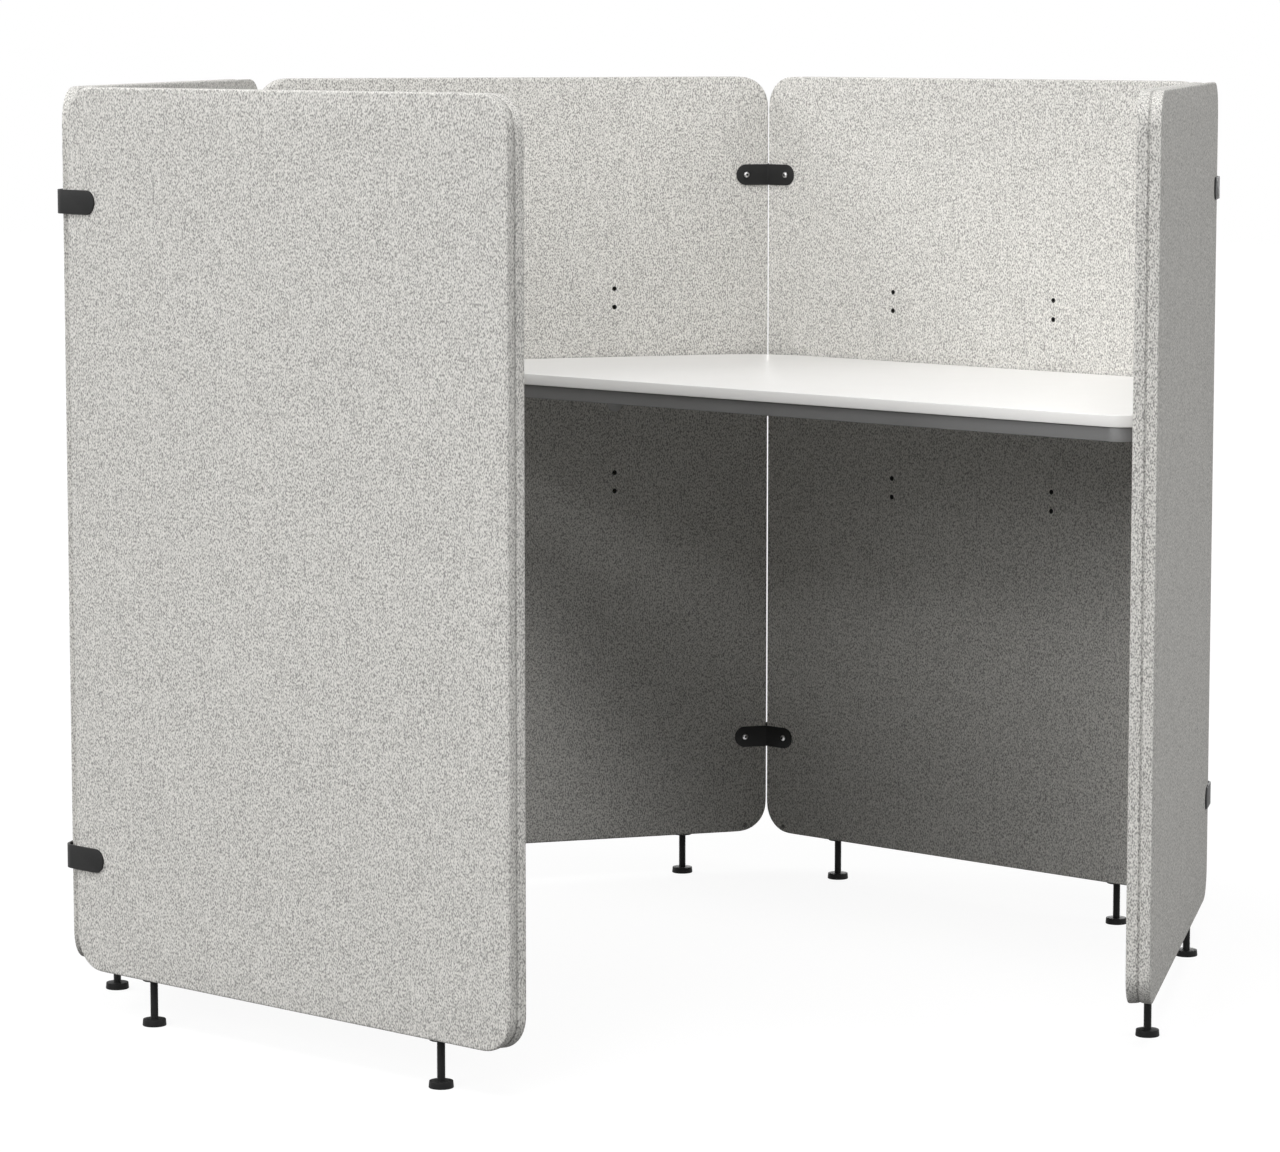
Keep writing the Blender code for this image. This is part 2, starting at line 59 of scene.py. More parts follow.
# %% Frames of the panels and of the corners
low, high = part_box("rear_panel_cover")
panel_width, panel_thickness, panel_height = high - low
panel_bottom, panel_top = low.z, high.z
inner_apothem = low.y
inner_face, outer_face = -panel_thickness / 2, panel_thickness / 2
pod_middle = Matrix.Translation(((low.x + high.x) / 2, 0.0, 0.0))

panel_directions = {"front_panel": 270, "front_left_panel": 210, "rear_left_panel": 150,
                    "rear_panel": 90, "rear_right_panel": 30}
corner_directions = {"front_corner": 240, "left_corner": 180, "rear_left_corner": 120,
                     "rear_right_corner": 60}
desk_panels = ("rear_left_panel", "rear_panel", "rear_right_panel")
sides = {"left": -1, "right": 1}
half_corner = math.radians(60)


def turned_frame(direction, distance):
    turn = Matrix.Rotation(math.radians(direction - 90), 4, "Z")
    return pod_middle @ turn @ Matrix.Translation((0.0, distance, 0.0))


panel_frames = {panel: turned_frame(direction, inner_apothem + panel_thickness / 2)
                for panel, direction in panel_directions.items()}
corner_frames = {corner: turned_frame(direction, inner_apothem / math.sin(half_corner))
                 for corner, direction in corner_directions.items()}
print("panel", round(panel_width, 3), "x", round(panel_height, 3), "x", round(panel_thickness, 3))

# %% [markdown]
# The camera stands where the photographer's would: a long lens, a little higher than the screens, looking in
# through the open side. A long lens keeps upright edges nearly parallel, as product pictures do.

# %% Camera
camera = bpy.data.objects.new("camera", bpy.data.cameras.new("camera"))
bpy.context.scene.collection.objects.link(camera)
camera.location = (4.8064, -5.3538, 1.5045)
camera.rotation_euler = (math.radians(83.08), 0.0, math.radians(42.148))
camera.data.sensor_width = 36.0
camera.data.lens = 129.8
camera.data.clip_end = 100.0
bpy.context.scene.camera = camera
print("camera", camera.location.length, "m from the middle of the floor")

# %% [markdown]
# Plain soft studio light comes from a pale room all round and from large soft boxes that stand round the
# pod. The background is white because camera rays see white, not because more light falls on the pod. Mirror
# and glass rays see the same white, so steel reflects the room that is shown.

# %% World
scene = bpy.context.scene
scene.view_settings.view_transform = "Standard"
room_light = 0.165


def emptied(owner):
    owner.use_nodes = True
    owner.node_tree.nodes.clear()
    return owner.node_tree


def add_node(tree, kind, **values):
    """A node with its properties and, by name or number, its input values."""
    inputs = values.pop("inputs", {})
    node = tree.nodes.new(kind)
    for name, value in values.items():
        setattr(node, name, value)
    for name, value in inputs.items():
        node.inputs[name].default_value = value
    return node


def seen_rays(tree):
    """One where a ray comes from the camera, a mirror or glass, and zero elsewhere."""
    path = add_node(tree, "ShaderNodeLightPath")
    total = path.outputs["Is Camera Ray"]
    for name in ("Is Glossy Ray", "Is Transmission Ray"):
        either = add_node(tree, "ShaderNodeMath", operation="MAXIMUM")
        tree.links.new(total, either.inputs[0])
        tree.links.new(path.outputs[name], either.inputs[1])
        total = either.outputs[0]
    return total


def split_by_ray(tree, hidden, seen, output_kind):
    """Seen rays get one shader, and the light that bounces about gets the other."""
    choose = add_node(tree, "ShaderNodeMixShader")
    tree.links.new(seen_rays(tree), choose.inputs[0])
    tree.links.new(hidden.outputs[0], choose.inputs[1])
    tree.links.new(seen.outputs[0], choose.inputs[2])
    output = add_node(tree, output_kind)
    tree.links.new(choose.outputs[0], output.inputs[0])


world = bpy.data.worlds.new("studio")
scene.world = world
tree = emptied(world)
room = add_node(tree, "ShaderNodeBackground", inputs={"Color": (1, 1, 1, 1), "Strength": room_light})
white = add_node(tree, "ShaderNodeBackground", inputs={"Color": (1, 1, 1, 1), "Strength": 1.0})
split_by_ray(tree, room, white, "ShaderNodeOutputWorld")
print("room light", room_light)

# %% [markdown]
# Each soft box is a square area light aimed at the middle of the pod, far enough away to light the top and
# the foot of a screen nearly alike. One stands to the left, so the outer plates throw soft shadows to the
# right, two are low in front, one is high where the way in is, one fills the shaded right side, and a low one
# behind is for views of the back.

# %% Soft boxes
box_size = 6.4
box_distance = 14.0
pod_heart = Vector((0.0, 0.0, 0.8))
soft_boxes = {"left_soft_box": (200, 35, 1000.0), "front_soft_box": (265, 20, 504.0),
              "entry_soft_box": (285, 25, 540.0), "high_soft_box": (310, 60, 1087.0),
              "right_soft_box": (20, 20, 655.0), "rear_soft_box": (120, 8, 560.0)}
for name, (direction, elevation, power) in soft_boxes.items():
    lamp = bpy.data.objects.new(name, bpy.data.lights.new(name, "AREA"))
    scene.collection.objects.link(lamp)
    turn, rise = math.radians(direction), math.radians(elevation)
    towards = Vector((math.cos(turn) * math.cos(rise), math.sin(turn) * math.cos(rise), math.sin(rise)))
    lamp.location = pod_heart + towards * box_distance
    lamp.rotation_euler = towards.to_track_quat("Z", "Y").to_euler()
    lamp.data.size = box_size
    lamp.data.energy = power
    print(name, power, "W")

# %% [markdown]
# The floor is a plain pale sheet. To the camera it is almost white, with a share of ordinary matt shading
# left in it so that the pod's shadow still falls on it. That share fades with distance, so the floor runs out
# into the white background without a line. Mirror and glass rays see the same floor. To light bouncing about
# under the desk it is a quieter grey, as an office floor is.

# %% Floor
floor_half_size = 20.0
floor_bounce = 0.165
floor_paint = 0.9
floor_shadow_share = 0.12
floor_glow = 1.04
shadow_fades_from, shadow_fades_to = 1.2, 2.6


def mesh_object(name, bm):
    """An object in the scene with the bmesh as its mesh."""
    mesh = bpy.data.meshes.new(name)
    bm.to_mesh(mesh)
    made = bpy.data.objects.new(name, mesh)
    scene.collection.objects.link(made)
    return made


bm = bmesh.new()
bmesh.ops.create_grid(bm, x_segments=1, y_segments=1, size=floor_half_size)
floor = mesh_object("floor", bm)
bm.free()
floor_finish = bpy.data.materials.new("pale_floor")
floor.data.materials.append(floor_finish)
tree = emptied(floor_finish)
bounce = add_node(tree, "ShaderNodeBsdfDiffuse", inputs={"Color": (floor_bounce,) * 3 + (1,)})
matt = add_node(tree, "ShaderNodeBsdfDiffuse", inputs={"Color": (floor_paint,) * 3 + (1,)})
glow = add_node(tree, "ShaderNodeEmission", inputs={"Strength": floor_glow})
place = add_node(tree, "ShaderNodeTexCoord")
distance = add_node(tree, "ShaderNodeVectorMath", operation="LENGTH")
tree.links.new(place.outputs["Object"], distance.inputs[0])
fade = add_node(tree, "ShaderNodeMapRange",
                inputs={"From Min": shadow_fades_from, "From Max": shadow_fades_to,
                        "To Min": floor_shadow_share, "To Max": 0.0})
tree.links.new(distance.outputs["Value"], fade.inputs["Value"])
pale = add_node(tree, "ShaderNodeMixShader")
tree.links.new(fade.outputs[0], pale.inputs[0])
tree.links.new(glow.outputs[0], pale.inputs[1])
tree.links.new(matt.outputs[0], pale.inputs[2])
split_by_ray(tree, bounce, pale, "ShaderNodeOutputMaterial")
print("floor laid")

# %% [markdown]
# Two effects are used by several finishes, so each is built once as a node group. Grain is a fine even
# noise that makes powder coat, moulded plastic and laminate look like a made surface instead of a flat
# colour. It reads object coordinates in metres, so its size in the picture is its real size. A Mapping node
# turns the pattern a little, because a noise is weaker on a face that lies along its own axes.

# %% Grain, a node group
pattern_turn = math.radians(17)


def new_group(name, inputs, outputs):
    group = bpy.data.node_groups.new(name, "ShaderNodeTree")
    for socket, kind, value in inputs:
        made = group.interface.new_socket(socket, in_out="INPUT", socket_type=kind)
        made.default_value = value
    for socket, kind in outputs:
        group.interface.new_socket(socket, in_out="OUTPUT", socket_type=kind)
    return group, group.nodes.new("NodeGroupInput"), group.nodes.new("NodeGroupOutput")


def scaled_coordinates(group, scale_socket, squeeze=(1.0, 1.0, 1.0)):
    """Object coordinates, squeezed along each axis and turned, times the group's own scale."""
    place = add_node(group, "ShaderNodeTexCoord")
    turned = add_node(group, "ShaderNodeMapping",
                      inputs={"Scale": squeeze, "Rotation": (0.0, 0.0, pattern_turn)})
    sized = add_node(group, "ShaderNodeVectorMath", operation="SCALE")
    group.links.new(place.outputs["Object"], turned.inputs["Vector"])
    group.links.new(turned.outputs[0], sized.inputs[0])
    group.links.new(scale_socket, sized.inputs["Scale"])
    return sized.outputs[0]


grain, grain_in, grain_out = new_group(
    "grain",
    [("Scale", "NodeSocketFloat", 900.0), ("Least Roughness", "NodeSocketFloat", 0.4),
     ("Most Roughness", "NodeSocketFloat", 0.5), ("Dark", "NodeSocketColor", (0, 0, 0, 1)),
     ("Light", "NodeSocketColor", (1, 1, 1, 1))],
    [("Colour", "NodeSocketColor"), ("Roughness", "NodeSocketFloat"), ("Height", "NodeSocketFloat")])
fine = add_node(grain, "ShaderNodeTexNoise", inputs={"Scale": 1.0, "Detail": 2.0, "Roughness": 0.6})
grain.links.new(scaled_coordinates(grain, grain_in.outputs["Scale"]), fine.inputs["Vector"])
broad = add_node(grain, "ShaderNodeTexNoise", inputs={"Scale": 14.0, "Detail": 3.0})
place = add_node(grain, "ShaderNodeTexCoord")
grain.links.new(place.outputs["Object"], broad.inputs["Vector"])
shine = add_node(grain, "ShaderNodeMapRange", inputs={"From Min": 0.3, "From Max": 0.7})
grain.links.new(broad.outputs["Fac"], shine.inputs["Value"])
grain.links.new(grain_in.outputs["Least Roughness"], shine.inputs["To Min"])
grain.links.new(grain_in.outputs["Most Roughness"], shine.inputs["To Max"])
tint = add_node(grain, "ShaderNodeMix", data_type="RGBA")
spread = add_node(grain, "ShaderNodeMapRange", inputs={"From Min": 0.3, "From Max": 0.7})
grain.links.new(fine.outputs["Fac"], spread.inputs["Value"])
grain.links.new(spread.outputs[0], tint.inputs["Factor"])
grain.links.new(grain_in.outputs["Dark"], tint.inputs["A"])
grain.links.new(grain_in.outputs["Light"], tint.inputs["B"])
grain.links.new(tint.outputs["Result"], grain_out.inputs["Colour"])
grain.links.new(shine.outputs[0], grain_out.inputs["Roughness"])
grain.links.new(fine.outputs["Fac"], grain_out.inputs["Height"])
print("grain has", len(grain.nodes), "nodes")

# %% [markdown]
# Paint, moulded plastic, plating and laminate differ in colour and shine but share that grain. So one helper
# makes them all: a Principled shader whose colour, roughness and faint relief come from the group, each
# finish with its own values. Dark coats on a real pod are matt, so their mirror share is turned down.

# %% Finishes with grain
grain_strength = 0.5


def principled(name, roughness=0.5, metallic=0.0):
    material = bpy.data.materials.new(name)
    tree = emptied(material)
    shader = add_node(tree, "ShaderNodeBsdfPrincipled",
                      inputs={"Roughness": roughness, "Metallic": metallic})
    output = add_node(tree, "ShaderNodeOutputMaterial")
    tree.links.new(shader.outputs[0], output.inputs[0])
    return material, tree, shader


def bump(tree, shader, height, strength, distance):
    relief = add_node(tree, "ShaderNodeBump", inputs={"Strength": strength, "Distance": distance})
    tree.links.new(height, relief.inputs["Height"])
    tree.links.new(relief.outputs[0], shader.inputs["Normal"])


def tinted(grey, tint):
    return (*(grey * share for share in tint), 1.0)


def grained(name, dark, light, roughness, scale, relief, metallic=0.0, specular=0.5, tint=(1.0, 1.0, 1.0)):
    """Dark and light are greys, roughness is the least and the most, and relief is in metres."""
    material, tree, shader = principled(name, metallic=metallic)
    shader.inputs["Specular IOR Level"].default_value = specular
    texture = add_node(tree, "ShaderNodeGroup", node_tree=grain)
    texture.inputs["Dark"].default_value = tinted(dark, tint)
    texture.inputs["Light"].default_value = tinted(light, tint)
    texture.inputs["Scale"].default_value = scale
    for socket, value in zip(("Least Roughness", "Most Roughness"), roughness):
        texture.inputs[socket].default_value = value
    tree.links.new(texture.outputs["Colour"], shader.inputs["Base Color"])
    tree.links.new(texture.outputs["Roughness"], shader.inputs["Roughness"])
    bump(tree, shader, texture.outputs["Height"], grain_strength, relief)
    return material


black_coat = grained("black_powder_coat", 0.014, 0.022, (0.46, 0.56), 1100.0, 0.00012, specular=0.18)
grey_coat = grained("grey_metallic_paint", 0.190, 0.215, (0.45, 0.55), 1100.0, 0.00008, metallic=0.35)
pale_coat = grained("pale_grey_paint", 0.42, 0.48, (0.45, 0.55), 1100.0, 0.00008)
foot_plastic = grained("black_moulded_plastic", 0.008, 0.012, (0.5, 0.6), 1600.0, 0.00008, specular=0.15)
# Blackened steel, also used as painted shade inside the zinc screws' sockets.
black_steel_and_socket_shade = grained("blackened_steel_and_socket_shade", 0.010, 0.016, (0.48, 0.58), 1400.0, 0.00004, specular=0.2)
bright_zinc = grained("bright_zinc", 0.48, 0.58, (0.28, 0.40), 1800.0, 0.00003, metallic=1.0)
warm_white = (1.0, 0.992, 0.975)
white_laminate = grained("white_laminate", 0.84, 0.87, (0.36, 0.44), 1500.0, 0.00003, tint=warm_white)
white_edge_band = grained("white_edge_band", 0.79, 0.81, (0.40, 0.48), 1300.0, 0.00002, tint=warm_white)
print(len(bpy.data.materials), "materials so far")

# %% [markdown]
# The covers are a melange felt: pale wool with short dark hairs that mostly run upright, so up close it is
# speckled and from a few steps away it is an even warm grey. An image would repeat, and a plain noise has no
# direction. Here one noise, squeezed so that its spots stand upright, is cut into dark hairs, pale hairs and
# ground. A finer one frays the hairs and raises the nap, and a broad one thins them out in drifts. Darker
# copies of the same felt are painted shade: in the seam groove and on the sunk buttons.

# %% Melange felt
hair_scale = 560.0
hair_squeeze = (1.0, 1.0, 0.55)
felt_tint = (1.0, 0.981, 0.937)
nap_share, drift_share = 0.16, 0.06
nap_strength, nap_height = 0.6, 0.0006
felt_greys = ((0.00, 0.247), (0.36, 0.336), (0.45, 0.550), (0.56, 0.639), (0.70, 0.758))

flecks, flecks_in, flecks_out = new_group(
    "upright_flecks", [("Scale", "NodeSocketFloat", hair_scale)],
    [("Spots", "NodeSocketFloat"), ("Nap", "NodeSocketFloat")])
upright = scaled_coordinates(flecks, flecks_in.outputs["Scale"], hair_squeeze)
hairs = add_node(flecks, "ShaderNodeTexNoise", inputs={"Scale": 1.0, "Detail": 0.0})
nap = add_node(flecks, "ShaderNodeTexNoise", inputs={"Scale": 2.6, "Detail": 2.0, "Roughness": 0.6})
drift = add_node(flecks, "ShaderNodeTexNoise", inputs={"Scale": 0.05, "Detail": 2.0})
for noise in (hairs, nap, drift):
    flecks.links.new(upright, noise.inputs["Vector"])
total = hairs.outputs["Fac"]
for noise, share in ((nap, nap_share), (drift, drift_share)):
    swing = add_node(flecks, "ShaderNodeMath", operation="MULTIPLY_ADD", inputs={1: share, 2: -share / 2})
    flecks.links.new(noise.outputs["Fac"], swing.inputs[0])
    added = add_node(flecks, "ShaderNodeMath", operation="ADD")
    flecks.links.new(total, added.inputs[0])
    flecks.links.new(swing.outputs[0], added.inputs[1])
    total = added.outputs[0]
flecks.links.new(total, flecks_out.inputs["Spots"])
flecks.links.new(nap.outputs["Fac"], flecks_out.inputs["Nap"])


def melange(name, share):
    """Felt whose greys are a share of the covers' own."""
    material, tree, shader = principled(name, roughness=0.92)
    shader.inputs["Sheen Weight"].default_value = 0.05
    shader.inputs["Sheen Roughness"].default_value = 0.6
    shader.inputs["Specular IOR Level"].default_value = 0.05
    texture = add_node(tree, "ShaderNodeGroup", node_tree=flecks)
    texture.inputs["Scale"].default_value = hair_scale
    ramp = add_node(tree, "ShaderNodeValToRGB")
    while len(ramp.color_ramp.elements) < len(felt_greys):
        ramp.color_ramp.elements.new(0.5)
    for stop, (position, grey) in zip(ramp.color_ramp.elements, felt_greys):
        stop.position = position
        stop.color = tinted(grey * share, felt_tint)
    tree.links.new(texture.outputs["Spots"], ramp.inputs["Fac"])
    tree.links.new(ramp.outputs["Color"], shader.inputs["Base Color"])
    bump(tree, shader, texture.outputs["Nap"], nap_strength, nap_height)
    return material


felt = melange("melange_felt", 1.0)
# A darker copy of the felt is painted shade in the seam groove.
seam_painted_shade_felt = melange("seam_painted_shade_felt", 0.72)
# A felt half as grey is painted shade of the sunk buttons.
button_painted_shade_felt = melange("button_painted_shade_felt", 0.5)
print("felt hairs about", round(1000 / hair_scale, 2), "mm wide")

# %% [markdown]
# Every piece ends the same way: its bmesh becomes a mesh, edges sharper than a given angle stay crisp, the
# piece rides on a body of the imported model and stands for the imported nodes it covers. The place is in the
# mesh itself, so the object stays at the origin and object coordinates are the pod's own coordinates. Points
# within touch of each other, a hundredth of a millimetre, count as one.

# %% Finishing a piece
touch = 1e-5
small_round, large_round = 24, 48


def finished(name, bm, finishes, body="pod", nodes=(), crisp=35):
    bmesh.ops.recalc_face_normals(bm, faces=bm.faces)
    piece = mesh_object(name, bm)
    bm.free()
    for finish in finishes:
        piece.data.materials.append(finish)
    piece.data.shade_smooth()
    piece.data.set_sharp_from_angle(angle=math.radians(crisp))
    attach(piece, body)
    if nodes:
        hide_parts(*nodes)
    return piece


def move(bm, matrix, verts=None):
    bmesh.ops.transform(bm, matrix=matrix, verts=bm.verts if verts is None else verts)


def bevel(bm, edges, offset, segments):
    bmesh.ops.bevel(bm, geom=edges, offset=offset, offset_type="OFFSET", segments=segments, profile=0.5,
                    affect="EDGES", clamp_overlap=False, material=-1)


def grow(bm, faces, sweep):
    """Extrudes faces into a solid, and gives the far face."""
    grown = bmesh.ops.extrude_face_region(bm, geom=faces)["geom"]
    far_verts = [item for item in grown if isinstance(item, bmesh.types.BMVert)]
    bmesh.ops.translate(bm, verts=far_verts, vec=sweep)
    bmesh.ops.recalc_face_normals(bm, faces=bm.faces)
    return next(item for item in grown if isinstance(item, bmesh.types.BMFace))


def creases(bm, least):
    """The edges where two faces meet at more than this many degrees."""
    return [edge for edge in bm.edges if edge.calc_face_angle(0.0) > math.radians(least)]


def lathe(bm, profile, steps, matrix):
    """Spins (radius, height) points into a turned solid, in a frame whose Z is the axis."""
    older = set(bm.verts)
    points = [bm.verts.new((radius, 0.0, height)) for radius, height in profile]
    edges = [bm.edges.new(pair) for pair in zip(points, points[1:])]
    bmesh.ops.spin(bm, geom=points + edges, axis=(0, 0, 1), angle=2 * math.pi, steps=steps, use_merge=True)
    bmesh.ops.remove_doubles(bm, verts=[vert for vert in bm.verts if vert not in older], dist=touch)
    move(bm, matrix, [vert for vert in bm.verts if vert not in older])


def rounded(corner, radius, start, end, count):
    """Points of an arc in a profile, about (radius, height) corner, from one angle to another."""
    steps = [math.radians(start + (end - start) * step / count) for step in range(count + 1)]
    return [(corner[0] + radius * math.cos(step), corner[1] + radius * math.sin(step)) for step in steps]


print("helpers ready")

# %% [markdown]
# A cover is a thin pad with felt pulled tight round a board and closed by a seam along the middle of the
# rim. A grid makes a face, because an even grid bends smoothly everywhere. Its corners are rolled to their
# radius, an inset lays a loop beside the edge that keeps it crisp, the face is extruded to the panel's
# thickness and its two edges are bevelled. The rim is then drawn in towards its middle, most of all at the
# seam, whose sides get a darker felt as painted shade in the groove.

# %% Shape of a cover
cover_cell = 0.016
cover_corner_radius = 0.050
cover_edge_radius = 0.003
edge_support = 0.0055
rim_draw = 0.0015
seam_width = 0.0022
seam_depth = 0.0018
half_width, half_height = panel_width / 2, panel_height / 2
panel_centre = (panel_bottom + panel_top) / 2


def roll_corner(vert):
    """Moves a point of a square corner to where it lies in a round one."""
    across = abs(vert.co.x) - (half_width - cover_corner_radius)
    up = abs(vert.co.z - panel_centre) - (half_height - cover_corner_radius)
    if across <= 0.0 or up <= 0.0:
        return
    reach = max(across, up)
    angle = math.pi / 4 * up / across if across >= up else math.pi / 2 - math.pi / 4 * across / up
    side = half_width - cover_corner_radius + reach * math.cos(angle)
    rise = half_height - cover_corner_radius + reach * math.sin(angle)
    vert.co.x = math.copysign(side, vert.co.x)
    vert.co.z = panel_centre + math.copysign(rise, vert.co.z - panel_centre)


def tight_cover():
    bm = bmesh.new()
    stand_up = (Matrix.Translation((0.0, inner_face, panel_centre)) @ Matrix.Rotation(math.pi / 2, 4, "X")
                @ Matrix.Diagonal((panel_width, panel_height, 1.0, 1.0)))
    bmesh.ops.create_grid(bm, x_segments=round(panel_width / cover_cell),
                          y_segments=round(panel_height / cover_cell), size=0.5, matrix=stand_up)
    for vert in bm.verts:
        roll_corner(vert)
    bmesh.ops.inset_region(bm, faces=bm.faces[:], thickness=edge_support, use_boundary=True,
                           use_even_offset=True)
    grow(bm, bm.faces[:], (0.0, panel_thickness, 0.0))
    bevel(bm, creases(bm, 60), cover_edge_radius, 3)
    rim = [edge for edge in bm.edges if abs(edge.verts[0].co.y - edge.verts[1].co.y) > panel_thickness / 2]
    bmesh.ops.subdivide_edges(bm, edges=rim, cuts=3)
    seam = [edge for edge in bm.edges if max(abs(vert.co.y) for vert in edge.verts) < touch]
    bevel(bm, seam, seam_width / 2, 2)
    bm.normal_update()
    rim_half = panel_thickness / 2 - cover_edge_radius
    for vert in bm.verts:
        from_seam = abs(vert.co.y)
        if from_seam < rim_half - touch:
            drawn = rim_draw * (1.0 - from_seam / rim_half) + (seam_depth if from_seam < touch else 0.0)
            vert.co -= vert.normal * drawn
    # Faces at the seam get the darker felt: painted shade in the groove.
    for face in bm.faces:
        if max(abs(vert.co.y) for vert in face.verts) < seam_width:
            face.material_index = 1
    return bm


trial = tight_cover()
print("a cover has", len(trial.faces), "faces before it is padded")
trial.free()

# %% [markdown]
# The pad under the felt pushes it out a little wherever nothing holds it down. That is what cloth does under
# a light pressure, so the cloth solver does it here: the rim, the plates, the brackets and the screw inserts
# hold the felt, the rest lifts by about a millimetre. The result is capped and written back to the mesh, so
# no solver is left on the piece.

# %% Where the felt is held
low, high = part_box("rear_left_corner_upper_inner_plate")
plate_height = high.z - low.z
plate_screw_reach = 0.0412
inner_side = 2 * inner_apothem / math.tan(half_corner)
screw_x = inner_side / 2 - plate_screw_reach
plate_levels = {"lower": 0.0, "upper": 0.0}
for height in plate_levels:
    low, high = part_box(f"rear_left_corner_{height}_inner_plate")
    plate_levels[height] = (low.z + high.z) / 2
low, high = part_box("rear_panel_right_desk_bracket")
column_x = (low.x + high.x) / 2 - pod_middle.translation.x
bracket_bottom, bracket_top = low.z, high.z
bracket_width = high.x - low.x
hole_pair_spacing = 0.032
hole_row_pitch = 0.160
hole_middle_row = 0.860
insert_hold = 0.004

plated_ends = {"front_panel": ("right",), "front_left_panel": ("left", "right"),
               "rear_left_panel": ("left", "right"), "rear_panel": ("left", "right"),
               "rear_right_panel": ("left",)}


def insert_places(panel):
    """(x, z) of the screw inserts in a panel's inner face."""
    if panel not in desk_panels:
        return []
    return [(sign * column_x, hole_middle_row + row * hole_row_pitch + half * hole_pair_spacing)
            for sign in sides.values() for row in (-1, 0, 1) for half in (-0.5, 0.5)]


def holds(panel):
    """What presses on a panel: (x, z) of both ends of a strip, its half width, and which faces it is on."""
    found = []
    for side in plated_ends[panel]:
        sign = sides[side]
        for level in plate_levels.values():
            found.append(((sign * screw_x, level), (sign * half_width, level), plate_height / 2, (-1, 1)))
    if panel in desk_panels:
        for sign in sides.values():
            x = sign * column_x
            found.append(((x, bracket_bottom), (x, bracket_top), bracket_width / 2, (-1,)))
    found += [((x, z), (x, z), insert_hold, (-1,)) for x, z in insert_places(panel)]
    return found


def distance_to_strip(point, start, end):
    start, end = Vector(start), Vector(end)
    run = end - start
    along = 0.0 if run.length == 0.0 else max(0.0, min(1.0, (point - start).dot(run) / run.length_squared))
    return (point - start - run * along).length


print("inserts in a desk panel:", len(insert_places("rear_panel")))

# %% Padding a cover with the cloth solver
felt_lift = 0.0012
hold_margin = 0.004
pad_pressure = 0.35
pad_frames = 12


def held_points(bm, panel):
    strips = holds(panel)
    kept = []
    for vert in bm.verts:
        on_face = abs(vert.co.y) > panel_thickness / 2 - touch
        face = 1 if vert.co.y > 0 else -1
        spot = Vector((vert.co.x, vert.co.z))
        pressed = any(face in faces and distance_to_strip(spot, start, end) < reach + hold_margin
                      for start, end, reach, faces in strips)
        if pressed or not on_face:
            kept.append(vert.index)
    return kept


def padded_cover(panel):
    """The tight cover of a panel after its pad has pushed the felt out."""
    bm = tight_cover()
    bm.verts.index_update()
    kept = held_points(bm, panel)
    cloth_object = mesh_object("cloth", bm)
    group = cloth_object.vertex_groups.new(name="held")
    group.add(kept, 1.0, "REPLACE")
    cloth = cloth_object.modifiers.new("cloth", "CLOTH")
    cloth.settings.vertex_group_mass = "held"
    cloth.settings.quality = 3
    cloth.settings.mass = 0.2
    cloth.settings.tension_stiffness = 30.0
    cloth.settings.compression_stiffness = 30.0
    cloth.settings.shear_stiffness = 10.0
    cloth.settings.bending_stiffness = 2.0
    cloth.settings.use_pressure = True
    cloth.settings.uniform_pressure_force = pad_pressure
    cloth.settings.effector_weights.gravity = 0.0
    cloth.collision_settings.use_collision = False
    cloth.point_cache.frame_end = pad_frames
    for step in range(1, pad_frames + 1):
        scene.frame_set(step)
    solved = cloth_object.evaluated_get(bpy.context.evaluated_depsgraph_get())
    lifts = [abs(after.co.y) - abs(before.co.y) for before, after in zip(bm.verts, solved.data.vertices)]
    for vert, lift in zip(bm.verts, lifts):
        vert.co.y += math.copysign(max(0.0, min(felt_lift, lift)), vert.co.y)
    scene.frame_set(1)
    bpy.data.objects.remove(cloth_object)
    print(panel, "felt lifts", round(1000 * max(lifts), 2), "mm, held points", len(kept))
    return bm


print("felt may lift", round(1000 * felt_lift, 2), "mm")

# %% [markdown]
# The padded cover of each panel is carried to its place. One level of Subdivision Surface then rounds the
# grid off, because felt over a pad has no facets.

# %% The five covers
covers = {}
for panel, place in panel_frames.items():
    bm = padded_cover(panel)
    move(bm, place)
    cover = finished(f"{panel}_felt_cover", bm, [felt, seam_painted_shade_felt], nodes=[f"{panel}_cover"],
                     crisp=60)
    smooth = cover.modifiers.new("smooth", "SUBSURF")
    smooth.levels = smooth.render_levels = 1
    covers[panel] = cover
print(len(covers), "covers made")

# %% [markdown]
# Under each cover there is a board, with two flanged steel bushes in its lower edge that the feet screw
# into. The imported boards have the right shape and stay. One finish serves both: pressed wood flakes above,
# and black steel below the height where only the bushes are.

# %% Boards inside the covers
bush_margin = 0.0005
bush_top = panel_bottom + bush_margin
flake_scale = 260.0
flake_strength, flake_height = 0.3, 0.0002
dark_flake, pale_flake = (0.26, 0.17, 0.09, 1.0), (0.52, 0.39, 0.24, 1.0)
bush_black = (0.014, 0.014, 0.014, 1.0)

